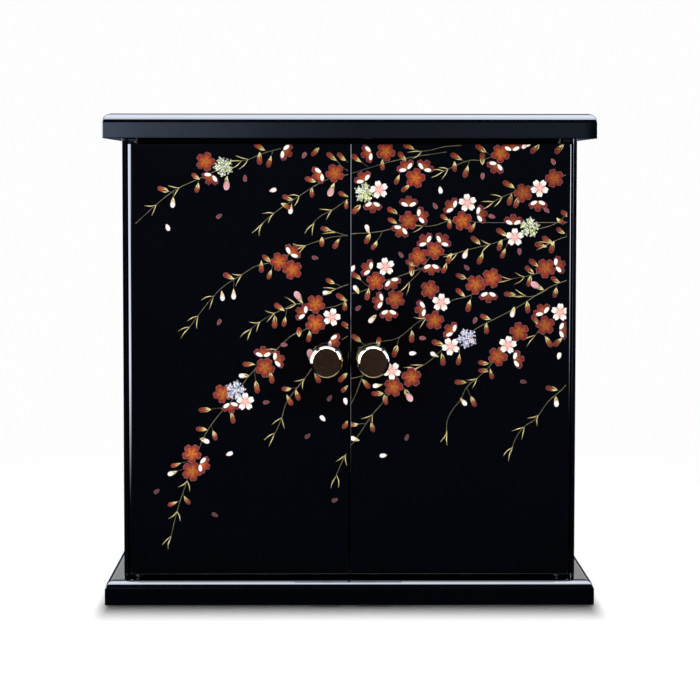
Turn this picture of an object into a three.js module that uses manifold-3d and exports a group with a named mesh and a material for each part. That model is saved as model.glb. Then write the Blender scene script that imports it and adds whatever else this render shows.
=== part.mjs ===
// A miniature Buddhist altar: a small black-lacquered cabinet closed by two doors on pivots.
// Two boards with rounded upper edges carry thin-lipped side panels and a back panel between them.
// Each door turns on two brass pins let into the boards, and is pulled by a turned brass knob.
// Millimetres, +Z up. The front faces -Y, and the origin is the centre of the base board's underside.
import * as THREE from "three";
import { mergeVertices } from "three/addons/utils/BufferGeometryUtils.js";
import Module from "manifold-3d";

// Base and top boards
const boardWidth = 300;
const boardDepth = 200;
const boardThickness = 15;
const boardRoundover = 5.5; // along the four upper edges
const boardCorner = 0.8; // the softened upright corners
const boardArris = 0.4; // the softened lower edges

// Cabinet between the boards
const altarHeight = 300;
const sideOverhang = 11; // board beyond each side panel
const frontOverhang = 12; // board in front of the doors
const backOverhang = 6; // board behind the side panels
const sideThickness = 9;
const lipThickness = 2.5; // side panel beside a door's edge
const lipSetback = 2; // doors' faces in front of the side panels
const lipArris = 0.6;
const backThickness = 5;
const glueLine = 0.1; // between pieces that are glued together

// Doors
const doorThickness = 9;
const doorTopGap = 3;
const doorBottomGap = 2;
const meetingGap = 1; // between the two doors
const doorEdgeRadius = 3; // upright edges next to the side panels
const doorArris = 0.5; // all its other edges
const swingClearance = 0.3; // between a turning door's edge and the lip beside it
const pocketClearance = 0.8; // behind a turning door's edge

// Pivots, one above and one below each door
const pivotInset = 6.4; // axis from the door's outer edge
const pinRadius = 1.5;
const pinInBoard = 8;
const pinInDoor = 7;
const collarRadius = 3;
const collarThickness = 1.1;
const collarClearance = 0.3; // from collar to door
const boreClearance = 0.3; // around and beyond a pin or stud

// Knobs
const knobRadius = 10;
const knobHeadThickness = 5;
const knobRimChamfer = 1.6; // from the flat face to the rim
const knobBackRadius = 1.2; // rounding behind the rim
const knobProjection = 16;
const knobNeckRadius = 3.8;
const knobFootRadius = 5.5;
const knobFootThickness = 1.6;
const knobFromMeetingEdge = 13.8;
const studRadius = 2;
const studLength = 6;

// Fineness of the curves
const cornerSteps = 4;
const roundoverSteps = 7;
const pinSegments = 24;
const knobSegments = 36;
const leastRadius = 0.05; // left at a rounded corner that an arris runs into

// Places worked out from the sizes above
const clearHeight = altarHeight - 2 * boardThickness;
const bodyHalfWidth = boardWidth / 2 - sideOverhang;
const bodyFront = -boardDepth / 2 + frontOverhang;
const bodyBack = boardDepth / 2 - backOverhang;
const panelHeight = clearHeight - 2 * glueLine;
const panelBottom = boardThickness + glueLine;

// A door's rounded outer edge sweeps this radius about its axis.
const edgeSweep =
  Math.hypot(pivotInset - doorEdgeRadius, doorThickness / 2 - doorEdgeRadius) + doorEdgeRadius;
const lipInside = bodyHalfWidth - lipThickness;
const pivotX = lipInside - Math.max(edgeSweep, pivotInset) - swingClearance;
const pivotY = bodyFront + doorThickness / 2;
const pocketDepth = doorThickness / 2 + edgeSweep + pocketClearance;
const doorHeight = clearHeight - doorTopGap - doorBottomGap;
const doorBottom = boardThickness + doorBottomGap;
const doorMeetingX = pivotX - meetingGap / 2; // meeting edge, measured from the axis
const knobX = doorMeetingX - knobFromMeetingEdge;

const wasm = await Module();
wasm.setup();

function solidOf(geometry) {
  const bare = geometry.clone();
  bare.deleteAttribute("normal");
  bare.deleteAttribute("uv");
  const merged = mergeVertices(bare, 1e-4);
  return new wasm.Manifold(
    new wasm.Mesh({
      numProp: 3,
      vertProperties: merged.attributes.position.array,
      triVerts: new Uint32Array(merged.index.array),
    }),
  );
}

function geometryOf(solid) {
  const mesh = solid.getMesh();
  const geometry = new THREE.BufferGeometry();
  geometry.setAttribute("position", new THREE.BufferAttribute(mesh.vertProperties, mesh.numProp));
  geometry.setIndex(new THREE.BufferAttribute(mesh.triVerts, 1));
  geometry.computeVertexNormals();
  return geometry;
}

function cut(geometry, cutters) {
  const cutAway = (solid, cutter) => solid.subtract(solidOf(cutter));
  return geometryOf(cutters.reduce(cutAway, solidOf(geometry)));
}

// A closed outline of right-angled corners, each [x, y, radius] rounded to its own radius.
function roundedOutline(corners) {
  const points = [];
  corners.forEach(([x, y, radius], i) => {
    const corner = new THREE.Vector2(x, y);
    const [lastX, lastY] = corners.at(i - 1);
    const [nextX, nextY] = corners[(i + 1) % corners.length];
    const arriving = corner.clone().sub(new THREE.Vector2(lastX, lastY)).normalize();
    const leaving = new THREE.Vector2(nextX, nextY).sub(corner).normalize();
    const centre = corner.clone().addScaledVector(arriving, -radius).addScaledVector(leaving, radius);
    const steps = radius > 0 ? cornerSteps : 0;
    for (let k = 0; k <= steps; k++) {
      const turn = steps ? ((k / steps) * Math.PI) / 2 : 0;
      points.push(
        centre
          .clone()
          .addScaledVector(leaving, -radius * Math.cos(turn))
          .addScaledVector(arriving, radius * Math.sin(turn)),
      );
    }
  });
  return points;
}

// A solid from level outlines of equal point counts, each {outline, z}, from the lowest up.
function lofted(levels) {
  const count = levels[0].outline.length;
  const rings = levels.map(({ outline, z }) => outline.map((point) => [point.x, point.y, z]));
  const middle = (ring) => [0, 1, 2].map((axis) => ring.reduce((sum, p) => sum + p[axis], 0) / count);
  const positions = [...rings.flat(), middle(rings[0]), middle(rings.at(-1))];
  const bottomMiddle = rings.length * count;
  const index = [];
  for (let j = 0; j < count; j++) {
    const next = (j + 1) % count;
    for (let i = 0; i + 1 < rings.length; i++) {
      const low = i * count;
      const high = low + count;
      index.push(low + j, low + next, high + next, low + j, high + next, high + j);
    }
    const last = (rings.length - 1) * count;
    index.push(bottomMiddle, next, j, bottomMiddle + 1, last + j, last + next);
  }
  const geometry = new THREE.BufferGeometry();
  geometry.setAttribute("position", new THREE.Float32BufferAttribute(positions.flat(), 3));
  geometry.setIndex(index);
  geometry.computeVertexNormals();
  return geometry;
}

// Levels of a quarter-round that curls in from an upright side at z = height - radius to z = height.
function roundedTop(radius, height, steps) {
  return Array.from({ length: steps + 1 }, (_, i) => {
    const turn = ((i / steps) * Math.PI) / 2;
    return { inset: radius * (1 - Math.cos(turn)), z: height - radius * (1 - Math.sin(turn)) };
  });
}

// A board on its underside, with a quarter-round along its four upper edges.
function boardGeometry() {
  const levels = [
    { inset: boardArris, z: 0 },
    { inset: 0, z: boardArris },
    ...roundedTop(boardRoundover, boardThickness, roundoverSteps),
  ];
  return lofted(
    levels.map(({ inset, z }) => {
      const x = boardWidth / 2 - inset;
      const y = boardDepth / 2 - inset;
      const corners = [[-x, -y], [x, -y], [x, y], [-x, y]].map((corner) => [...corner, boardCorner]);
      return { outline: roundedOutline(corners), z };
    }),
  );
}

// An upright round cutter from z upwards.
function upright(radius, x, y, z, height) {
  return new THREE.CylinderGeometry(radius, radius, height, pinSegments)
    .rotateX(Math.PI / 2)
    .translate(x, y, z + height / 2);
}

// A board bored for the two pins, upwards into its underside or downwards into its upper face.
function boredBoard(boreBottom) {
  const depth = pinInBoard + boreClearance;
  return cut(
    boardGeometry(),
    [-1, 1].map((side) =>
      upright(pinRadius + boreClearance, side * pivotX, pivotY, boreBottom, 2 * depth),
    ),
  );
}

// A side panel's plan: a thick board rebated in front, so that only a lip stands beside the door.
function sidePanelGeometry(side) {
  const outside = side * bodyHalfWidth;
  const lip = side * lipInside;
  const inside = side * (bodyHalfWidth - sideThickness);
  const front = bodyFront + lipSetback;
  const shoulder = bodyFront + pocketDepth;
  const outline = roundedOutline([
    [outside, front, lipArris],
    [outside, bodyBack, lipArris],
    [inside, bodyBack, 0],
    [inside, shoulder, lipArris],
    [lip, shoulder, 0],
    [lip, front, lipArris],
  ]);
  return new THREE.ExtrudeGeometry(new THREE.Shape(outline), { depth: panelHeight, bevelEnabled: false });
}

function backPanelGeometry() {
  const width = 2 * (bodyHalfWidth - sideThickness - glueLine);
  return new THREE.BoxGeometry(width, backThickness, panelHeight);
}

// A door's plan about its pivot axis, shrunk by an inset.
function doorOutline(side, inset) {
  const outer = side * (pivotInset - inset);
  const meeting = -side * (doorMeetingX - inset);
  const half = doorThickness / 2 - inset;
  const outerRadius = Math.max(doorEdgeRadius - inset, leastRadius);
  const meetingRadius = Math.max(doorArris - inset, leastRadius);
  const corners = [
    [outer, -half, outerRadius],
    [outer, half, outerRadius],
    [meeting, half, meetingRadius],
    [meeting, -half, meetingRadius],
  ];
  return roundedOutline(side > 0 ? corners : corners.reverse());
}

// A door from its bottom edge upwards, with blind bores for the pins and for the knob's stud.
function doorGeometry(side) {
  const upperArris = roundedTop(doorArris, doorHeight, cornerSteps);
  const lowerArris = upperArris.map(({ inset, z }) => ({ inset, z: doorHeight - z })).reverse();
  const slab = lofted(
    [...lowerArris, ...upperArris].map(({ inset, z }) => ({ outline: doorOutline(side, inset), z })),
  );
  const boreDepth = pinInDoor + boreClearance;
  const studBoreRadius = studRadius + boreClearance;
  const studBoreLength = 2 * (studLength + boreClearance);
  const studBore = new THREE.CylinderGeometry(
    studBoreRadius,
    studBoreRadius,
    studBoreLength,
    pinSegments,
  ).translate(-side * knobX, -doorThickness / 2, doorHeight / 2);
  return cut(slab, [
    upright(pinRadius + boreClearance, 0, 0, -boreDepth, 2 * boreDepth),
    upright(pinRadius + boreClearance, 0, 0, doorHeight - boreDepth, 2 * boreDepth),
    studBore,
  ]);
}

// A turned piece standing on z = 0, from [radius, height] points that start and end on the axis.
function turned(profile, segments) {
  const points = profile.map(([radius, height]) => new THREE.Vector2(radius, height));
  return new THREE.LatheGeometry(points, segments).rotateX(Math.PI / 2);
}

// A pin with a thin collar close to the door's edge.
function pivotGeometry(gap) {
  const collarTop = gap - collarClearance;
  const collarBottom = collarTop - collarThickness;
  const tip = gap + pinInDoor;
  return turned(
    [
      [0, -pinInBoard],
      [pinRadius, -pinInBoard],
      [pinRadius, collarBottom],
      [collarRadius, collarBottom],
      [collarRadius, collarTop],
      [pinRadius, collarTop],
      [pinRadius, tip],
      [0, tip],
    ],
    pinSegments,
  );
}

// Points of a quarter circle about [radius, height], from one angle to another.
function quarter(centreRadius, centreHeight, radius, from, to) {
  return Array.from({ length: cornerSteps + 2 }, (_, i) => {
    const turn = from + ((to - from) * i) / (cornerSteps + 1);
    return [centreRadius + radius * Math.cos(turn), centreHeight + radius * Math.sin(turn)];
  });
}

// A knob: stud, foot, waisted neck, and a head with a chamfered rim and a flat face.
function knobGeometry() {
  const headBack = knobProjection - knobHeadThickness;
  const waist = Array.from({ length: 2 * cornerSteps }, (_, i) => {
    const share = i / (2 * cornerSteps - 1);
    const flare = (knobFootRadius - knobNeckRadius) * (1 - Math.sin(share * Math.PI));
    return [knobNeckRadius + flare, knobFootThickness + share * (headBack - knobFootThickness)];
  });
  return turned(
    [
      [0, glueLine - studLength],
      [studRadius, glueLine - studLength],
      [studRadius, glueLine],
      [knobFootRadius, glueLine],
      ...waist,
      ...quarter(knobRadius - knobBackRadius, headBack + knobBackRadius, knobBackRadius, -Math.PI / 2, 0),
      [knobRadius, knobProjection - knobRimChamfer],
      [knobRadius - knobRimChamfer, knobProjection],
      [0, knobProjection],
    ],
    knobSegments,
  );
}

const lacquer = new THREE.MeshStandardMaterial({ color: 0x08090d, roughness: 0.08, metalness: 0 });
const brass = new THREE.MeshStandardMaterial({ color: 0xd9b36a, roughness: 0.12, metalness: 1 });

function piece(name, geometry, material) {
  const mesh = new THREE.Mesh(geometry, material.clone());
  mesh.name = name;
  return mesh;
}

function cabinet() {
  const group = new THREE.Group();
  const base = piece("base_board", boredBoard(boardThickness - pinInBoard - boreClearance), lacquer);
  const top = piece("top_board", boredBoard(-pinInBoard - boreClearance), lacquer);
  top.position.z = altarHeight - boardThickness;
  group.add(base, top);

  for (const [name, side] of [["left", -1], ["right", 1]]) {
    const panel = piece(`side_panel_${name}`, sidePanelGeometry(side), lacquer);
    panel.position.z = panelBottom;

    const lower = piece(`pivot_bottom_${name}`, pivotGeometry(doorBottomGap), brass);
    lower.position.set(side * pivotX, pivotY, boardThickness);

    const upper = piece(`pivot_top_${name}`, pivotGeometry(doorTopGap), brass);
    upper.position.set(side * pivotX, pivotY, altarHeight - boardThickness);
    upper.rotation.x = Math.PI;
    group.add(panel, lower, upper);
  }

  const back = piece("back_panel", backPanelGeometry(), lacquer);
  back.position.set(0, bodyBack - backThickness / 2, panelBottom + panelHeight / 2);
  group.add(back);
  return group;
}

// A door with its knob, in a group whose origin is on the pivot axis at the door's bottom edge.
function door(name, side) {
  const group = new THREE.Group();
  group.position.set(side * pivotX, pivotY, doorBottom);
  const knob = piece(`knob_${name}`, knobGeometry(), brass);
  knob.position.set(-side * knobX, -doorThickness / 2, doorHeight / 2);
  knob.rotation.x = Math.PI / 2;
  group.add(piece(`door_${name}`, doorGeometry(side), lacquer), knob);
  return group;
}

const altar = new THREE.Group();
altar.add(cabinet(), door("left", -1), door("right", 1));

export default altar;
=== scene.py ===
# A miniature Buddhist altar: a black-lacquered cabinet with two painted doors on brass pivots.
# Metres, +Z up. The front faces -Y, and the origin is the centre of the base board's underside.
import math
import random

import bmesh
import bpy
from mathutils import Matrix, Vector


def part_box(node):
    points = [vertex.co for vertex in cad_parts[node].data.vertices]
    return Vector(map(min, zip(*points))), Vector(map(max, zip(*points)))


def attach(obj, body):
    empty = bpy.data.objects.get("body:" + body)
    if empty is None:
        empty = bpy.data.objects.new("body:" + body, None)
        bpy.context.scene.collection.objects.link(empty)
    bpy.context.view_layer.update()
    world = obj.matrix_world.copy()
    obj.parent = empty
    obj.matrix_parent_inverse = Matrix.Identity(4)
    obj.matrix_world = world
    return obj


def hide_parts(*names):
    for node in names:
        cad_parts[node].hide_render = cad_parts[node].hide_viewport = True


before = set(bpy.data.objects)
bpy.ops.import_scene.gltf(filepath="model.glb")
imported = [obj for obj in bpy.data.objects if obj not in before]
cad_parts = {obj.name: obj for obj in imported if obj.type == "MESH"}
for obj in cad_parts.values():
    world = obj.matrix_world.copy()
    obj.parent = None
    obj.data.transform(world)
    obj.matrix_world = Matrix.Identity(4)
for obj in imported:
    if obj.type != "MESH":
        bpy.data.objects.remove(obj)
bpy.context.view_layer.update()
mm = 0.001
hair = 1e-5  # two places nearer than this are the same place
draw = random.Random(11)

# Boards
board_roundover = 5.5 * mm
board_corner = 0.8 * mm
board_arris = 0.4 * mm

# Side panels
side_thickness = 9 * mm
lip_thickness = 2.5 * mm
lip_arris = 0.6 * mm
outer_arris = 0.2 * mm
rebate_depth = 12.02 * mm  # from the doors' faces to the rebate's shoulder
back_arris = 0.3 * mm
broad = 0.008  # faces over this share of the largest one are made quite flat
panel_play = 0.1 * mm  # the panels are let out by this to close on the boards

# Doors and their pivots
door_edge_radius = 3 * mm
door_arris = 0.5 * mm
pin_radius = 1.5 * mm
pin_bore = 1.8 * mm
pin_bore_depth = 7.3 * mm
board_bore_depth = 8.3 * mm
collar_radius = 3 * mm
collar_thickness = 1.1 * mm
collar_clearance = 0.3 * mm
pin_in_board = 8 * mm
pin_in_door = 7 * mm
pin_break = 0.25 * mm  # the broken edges of pin and collar
stud_bore = 2.3 * mm
stud_bore_depth = 6.3 * mm

# Knobs
knob_radius = 10 * mm
knob_rim_chamfer = 1.6 * mm
knob_back_radius = 1.2 * mm
knob_projection = 16 * mm
knob_head = 5 * mm
knob_neck_radius = 3.8 * mm
knob_foot_radius = 5.5 * mm
knob_foot = 1.6 * mm
stud_radius = 2 * mm
stud_length = 6 * mm
knob_crown = 0.07 * mm  # how far the chamfer swells
face_break = 0.12 * mm  # the edge of the face is just broken
foot_gap = 0.1 * mm  # from the door

face_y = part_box("door_left")[0].y


def centre_of(node):
    return [(low + high) / 2 for low, high in zip(*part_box(node))]


pivot_x, pivot_y, _ = centre_of("pivot_top_right")


# ---- Materials ----


def linear(hex_colour, strength=1.0):
    """An sRGB hex colour as a linear one."""
    channels = [int(hex_colour[i : i + 2], 16) / 255 for i in (1, 3, 5)]
    curve = [c / 12.92 if c <= 0.04045 else ((c + 0.055) / 1.055) ** 2.4 for c in channels]
    return (*[c * strength for c in curve], 1.0)


def connect(tree, node, inputs):
    """Gives a node's inputs a value, a link or, for a node, a link to its first output."""
    for socket, value in inputs.items():
        if isinstance(value, bpy.types.Node):
            value = value.outputs[0]
        if isinstance(value, bpy.types.NodeSocket):
            tree.links.new(value, node.inputs[socket])
        else:
            node.inputs[socket].default_value = value


def add(tree, kind, inputs=None, stops=None, **settings):
    """Adds a node with its settings, its inputs and the stops of a ramp."""
    made = tree.nodes.new("ShaderNode" + kind)
    for name, value in settings.items():
        setattr(made, name, value)
    connect(tree, made, inputs or {})
    for i, (place, colour) in enumerate(stops or []):
        stop = made.color_ramp.elements[i] if i < 2 else made.color_ramp.elements.new(place)
        stop.position = place
        stop.color = colour
    return made


def hex_stops(*stops):
    """Stops of a ramp, from (place, hex colour) pairs."""
    return [(place, linear(hex_colour)) for place, hex_colour in stops]


def new_material(name):
    material = bpy.data.materials.new(name)
    material.use_nodes = True
    tree = material.node_tree
    return material, tree, tree.nodes["Principled BSDF"]


def bare_tree(owner):
    """The node tree of a new material or world, emptied."""
    owner.use_nodes = True
    owner.node_tree.nodes.clear()
    return owner.node_tree


def black_lacquer(name, roughness, waviness, grain):
    """Black lacquer, sprayed and polished over wood: a deep, faintly blue black with a soft
    waviness and, where it is rubbed less, a trace of the wood grain under it."""
    material, tree, surface = new_material(name)
    place = add(tree, "TexCoord").outputs["Object"]
    wave = add(
        tree, "TexNoise",
        {"Vector": place, "Scale": 1 / (14 * mm), "Detail": 2.0, "Roughness": 0.4},
    )
    stretched = add(tree, "Mapping", {"Vector": place, "Scale": (1.0, 1.0, 0.06)})
    fibre = add(tree, "TexNoise", {"Vector": stretched, "Scale": 1 / (0.9 * mm), "Detail": 3.0})
    rubbed = add(
        tree, "TexNoise",
        {"Vector": place, "Scale": 1 / (38 * mm), "Detail": 4.0, "Roughness": 0.6},
    )
    height = add(tree, "Math", {0: fibre, 1: grain, 2: wave}, operation="MULTIPLY_ADD")
    bump = add(tree, "Bump", {"Height": height, "Strength": waviness, "Distance": 0.1 * mm})
    gloss = add(
        tree, "MapRange",
        {"Value": rubbed, 1: 0.3, 2: 0.75, 3: roughness * 0.7, 4: roughness * 1.5},
    )
    colour = add(
        tree, "ValToRGB", {"Fac": rubbed}, stops=hex_stops((0.3, "#010102"), (0.8, "#020204")),
    )
    shown = {"Base Color": colour, "Roughness": gloss, "Normal": bump, "IOR": 1.5}
    connect(tree, surface, shown)
    return material


def turned_brass(name, centre, along, dull, bright, roughness):
    """Turned brass: fine rings from the lathe about the axis under a haze of handling, a warm
    mirror where it is polished and a browner one where handling has dulled it."""
    material, tree, surface = new_material(name)
    place = add(tree, "TexCoord").outputs["Object"]
    centred = add(tree, "VectorMath", {0: place, 1: centre}, operation="SUBTRACT")
    across = add(tree, "VectorMath", {0: centred, 1: along}, operation="MULTIPLY")
    radius = add(tree, "VectorMath", {0: across}, operation="LENGTH")
    ring_spacing = 0.35 * mm
    turns = add(
        tree, "Math", {0: radius.outputs["Value"], 1: 2 * math.pi / ring_spacing},
        operation="MULTIPLY",
    )
    rings = add(tree, "Math", {0: turns}, operation="SINE")
    haze = add(
        tree, "TexNoise", {"Vector": place, "Scale": 1 / (3 * mm), "Detail": 5.0, "Roughness": 0.6},
    )
    colour = add(tree, "ValToRGB", {"Fac": haze}, stops=[(0.25, dull), (0.75, bright)])
    gloss = add(
        tree, "MapRange", {"Value": haze, 1: 0.2, 2: 0.8, 3: 0.7 * roughness, 4: 1.5 * roughness},
    )
    bump = add(tree, "Bump", {"Height": rings, "Strength": 0.1, "Distance": 0.005 * mm})
    shown = {"Base Color": colour, "Roughness": gloss, "Normal": bump, "Metallic": 1.0}
    connect(tree, surface, shown)
    return material


def picture_lacquer(name, ramp, deep, outline, vein_colour, powder, gloss, fold):
    """Coloured lacquer painted on the doors. The colour runs from the foot of each petal outwards,
    darkens where one petal goes under the next, has fine drawn veins and a thin drawn outline, and
    a sprinkling of powder breaks it up."""
    material, tree, surface = new_material(name)
    flower = add(tree, "UVMap", uv_map="UVMap").outputs["UV"]
    tone = add(tree, "Attribute", attribute_name="tone").outputs["Fac"]
    shade = add(tree, "Attribute", attribute_name="shade").outputs["Fac"]
    place = add(tree, "TexCoord").outputs["Object"]
    parts = add(tree, "SeparateXYZ", {"Vector": flower})
    radius = add(tree, "VectorMath", {0: flower}, operation="LENGTH").outputs["Value"]
    angle = add(tree, "Math", {0: parts.outputs["X"], 1: parts.outputs["Y"]}, operation="ARCTAN2")
    body = add(tree, "ValToRGB", {"Fac": radius}, stops=ramp)
    toned = add(tree, "Mix", {"Factor": tone, 6: body, 7: deep}, data_type="RGBA")
    vein_spacing = math.radians(13)
    fan = add(tree, "Math", {0: angle, 1: 2 * math.pi / vein_spacing}, operation="MULTIPLY")
    stripe = add(tree, "Math", {0: fan}, operation="COSINE")
    thin = add(tree, "MapRange", {"Value": stripe, 1: 0.2, 2: 0.9})
    rim = add(tree, "Attribute", attribute_name="rim").outputs["Fac"]
    edge = add(tree, "MapRange", {"Value": rim, 1: 0.25, 2: 0.75}, interpolation_type="SMOOTHSTEP")
    reach = add(
        tree, "ValToRGB", {"Fac": radius},
        stops=[
            (0.02, (0.2, 0.2, 0.2, 1)), (0.2, (0.9, 0.9, 0.9, 1)), (0.5, (0.5, 0.5, 0.5, 1)),
            (0.75, (0, 0, 0, 1)),
        ],
    )
    drawn = add(tree, "Math", {0: thin, 1: reach}, operation="MULTIPLY")
    veined = add(
        tree, "Mix", {"Factor": drawn, 6: toned.outputs[2], 7: vein_colour}, data_type="RGBA",
    )
    outlined = add(
        tree, "Mix", {"Factor": edge, 6: veined.outputs[2], 7: outline}, data_type="RGBA",
    )
    side = add(tree, "Math", {0: angle}, operation="ABSOLUTE")
    under = add(
        tree, "MapRange", {"Value": side, 1: 0.3, 2: 0.62, 3: 1.0, 4: fold},
        interpolation_type="SMOOTHSTEP",
    )
    grains = add(tree, "TexNoise", {"Vector": place, "Scale": 1 / (1.1 * mm), "Detail": 4.0})
    grainy = add(tree, "MapRange", {"Value": grains, 1: 0.3, 2: 0.7, 3: 1 - powder, 4: 1 + powder})
    lit = add(tree, "Math", {0: grainy, 1: shade}, operation="MULTIPLY")
    light = add(tree, "Math", {0: lit, 1: under}, operation="MULTIPLY")
    colour = add(tree, "VectorMath", {0: outlined.outputs[2], "Scale": light}, operation="SCALE")
    bump = add(tree, "Bump", {"Height": grainy, "Strength": 0.3, "Distance": 0.02 * mm})
    connect(tree, surface, {"Base Color": colour, "Normal": bump, "Roughness": gloss})
    return material


def gold_powder(name, dull, bright, cover):
    """Gold powder sprinkled on wet lacquer: a dry, grainy gold with dark between the grains."""
    material, tree, surface = new_material(name)
    place = add(tree, "TexCoord").outputs["Object"]
    grains = add(tree, "TexNoise", {"Vector": place, "Scale": 1 / (0.4 * mm), "Detail": 3.0})
    drift = add(tree, "TexNoise", {"Vector": place, "Scale": 1 / (9 * mm), "Detail": 2.0})
    spread = add(tree, "Math", {0: grains, 1: drift}, operation="ADD")
    colour = add(
        tree, "ValToRGB", {"Fac": spread}, stops=[(cover, dull), (min(cover + 0.35, 1.0), bright)],
    )
    bump = add(tree, "Bump", {"Height": grains, "Strength": 0.5, "Distance": 0.03 * mm})
    shown = {"Base Color": colour, "Normal": bump, "Metallic": 0.25, "Roughness": 0.5}
    connect(tree, surface, shown)
    return material


def shell_inlay(name):
    """Chips of shell laid in the lacquer: pale greenish and pinkish flakes, dark in between."""
    material, tree, surface = new_material(name)
    place = add(tree, "TexCoord").outputs["Object"]
    chip = 1.1 * mm
    chips = add(tree, "TexVoronoi", {"Vector": place, "Scale": 1 / chip})
    hue = add(tree, "SeparateColor", {"Color": chips.outputs["Color"]})
    tone = add(tree, "Attribute", attribute_name="tone").outputs["Fac"]
    cool = add(
        tree, "ValToRGB", {"Fac": hue.outputs["Red"]},
        stops=hex_stops(
            (0.0, "#fdfff6"), (0.35, "#d9dc62"), (0.5, "#fbffe8"), (0.75, "#7f9a5c"),
            (1.0, "#ffffff"),
        ),
    )
    warm = add(
        tree, "ValToRGB", {"Fac": hue.outputs["Green"]},
        stops=hex_stops(
            (0.0, "#eef4ff"), (0.3, "#7aa9d8"), (0.55, "#f3e6ff"), (0.75, "#b89ad6"),
            (1.0, "#fff6d0"),
        ),
    )
    mixed = add(
        tree, "Mix", {"Factor": tone, 6: cool.outputs["Color"], 7: warm.outputs["Color"]},
        data_type="RGBA",
    )
    edge = add(tree, "TexVoronoi", {"Vector": place, "Scale": 1 / chip}, feature="DISTANCE_TO_EDGE")
    gap = add(
        tree, "MapRange", {"Value": edge.outputs["Distance"], 1: 0.03, 2: 0.14, 3: 0.05, 4: 1.15},
    )
    colour = add(tree, "VectorMath", {0: mixed.outputs[2], "Scale": gap}, operation="SCALE")
    connect(tree, surface, {"Base Color": colour, "Roughness": 0.2})
    return material


polished_lacquer = black_lacquer("polished_black_lacquer", 0.022, 0.05, 0.0)
satin_lacquer = black_lacquer("satin_black_lacquer", 0.2, 0.3, 0.25)
red_lacquer = picture_lacquer(
    "vermilion_lacquer_and_gold",
    hex_stops((0.0, "#d08e24"), (0.25, "#b4501a"), (0.6, "#8a2218"), (1.0, "#440c18")),
    deep=linear("#5a0a18"), outline=linear("#8c5e5c"), vein_colour=linear("#cc8024"), powder=0.55,
    gloss=0.4, fold=0.4,
)
pale_lacquer = picture_lacquer(
    "pale_pink_lacquer",
    hex_stops((0.0, "#ee7f78"), (0.3, "#f8b4aa"), (0.6, "#fff0e6"), (1.0, "#fffaf4")),
    deep=linear("#d8707c"), outline=linear("#fff4ee"), vein_colour=linear("#f2a690"), powder=0.06,
    gloss=0.4, fold=0.62,
)
twig_gold = gold_powder("olive_gold_powder", linear("#26241a"), linear("#6e684c"), 0.75)
leaf_gold = gold_powder("pale_gold_powder", linear("#7c5e2c"), linear("#dcca8c"), 0.7)
shell = shell_inlay("shell_inlay")


# ---- Modelling by hand ----


def deselect():
    bpy.ops.object.select_all(action="DESELECT")


def everything():
    bpy.ops.mesh.select_all(action="SELECT")


def face_outwards():
    everything()
    bpy.ops.mesh.normals_make_consistent(inside=False)


def leave_edit():
    bpy.ops.object.mode_set(mode="OBJECT")


def enter_edit():
    bpy.ops.object.mode_set(mode="EDIT")


def soften(angle):
    bpy.ops.object.shade_smooth_by_angle(angle=math.radians(angle))


def pick(kind, test):
    """Selects the faces, edges or verts of the mesh being edited that pass a test."""
    bpy.ops.mesh.select_mode(type={"verts": "VERT", "edges": "EDGE", "faces": "FACE"}[kind])
    bpy.ops.mesh.select_all(action="DESELECT")
    mesh = bmesh.from_edit_mesh(bpy.context.edit_object.data)
    for part in getattr(mesh, kind):
        if test(part):
            part.select_set(True)
    mesh.select_flush_mode()
    bmesh.update_edit_mesh(bpy.context.edit_object.data)


def at(value, place):
    return abs(value - place) < hair


def upright_edge(edge):
    return abs(edge.verts[0].co.z - edge.verts[1].co.z) > hair


def edge_at_height(z):
    return lambda edge: all(at(v.co.z, z) for v in edge.verts)


def begin(name, primitive, scale=(1, 1, 1), **settings):
    """Adds a primitive by itself, applies its place and size and opens it in edit mode."""
    deselect()
    primitive(**settings)
    bpy.context.object.scale = scale
    bpy.ops.object.transform_apply()
    bpy.context.object.name = name
    enter_edit()
    return bpy.context.object


def block(name, low, high):
    return begin(
        name, bpy.ops.mesh.primitive_cube_add, size=1, location=(low + high) / 2, scale=high - low,
    )


def round_edges(test, radius, segments):
    pick("edges", test)
    bpy.ops.mesh.bevel(offset=radius, segments=segments, profile=0.5, affect="EDGES")


def bored(piece, bores):
    """Cuts round bores, each (centre, radius, length, direction), out of a piece."""
    for centre, radius, length, direction in bores:
        deselect()
        turn = Vector((0, 0, 1)).rotation_difference(Vector(direction)).to_euler()
        bpy.ops.mesh.primitive_cylinder_add(
            vertices=32, radius=radius, depth=length, location=centre, rotation=turn,
        )
        cutter = bpy.context.object
        bpy.context.view_layer.objects.active = piece
        cut = piece.modifiers.new("bore", "BOOLEAN")
        cut.object = cutter
        cut.solver = "EXACT"
        bpy.ops.object.modifier_apply(modifier=cut.name)
        bpy.data.objects.remove(cutter)


def smooth(piece, angle=35, flat_share=None):
    """Smooths the rounded edges and keeps the flats flat. Where all edges are rounded, the faces
    over a share of the largest one are made quite flat."""
    deselect()
    piece.select_set(True)
    bpy.context.view_layer.objects.active = piece
    soften(angle)
    even = piece.modifiers.new("flats", "WEIGHTED_NORMAL")
    even.keep_sharp = True
    even.weight = 100
    bpy.ops.object.modifier_apply(modifier=even.name)
    if flat_share:
        largest = max(face.area for face in piece.data.polygons)
        enter_edit()
        pick("faces", lambda f: f.calc_area() > flat_share * largest)
        bpy.ops.mesh.set_normals_from_faces(keep_sharp=True)
        leave_edit()


def fit(piece, material, body, slot, *nodes):
    """Gives a finished piece its material and body, and hides the nodes it stands for. The slot is
    not used.
    """
    piece.data.materials.clear()
    piece.data.materials.append(material)
    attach(piece, body)
    if nodes:
        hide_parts(*nodes)


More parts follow.
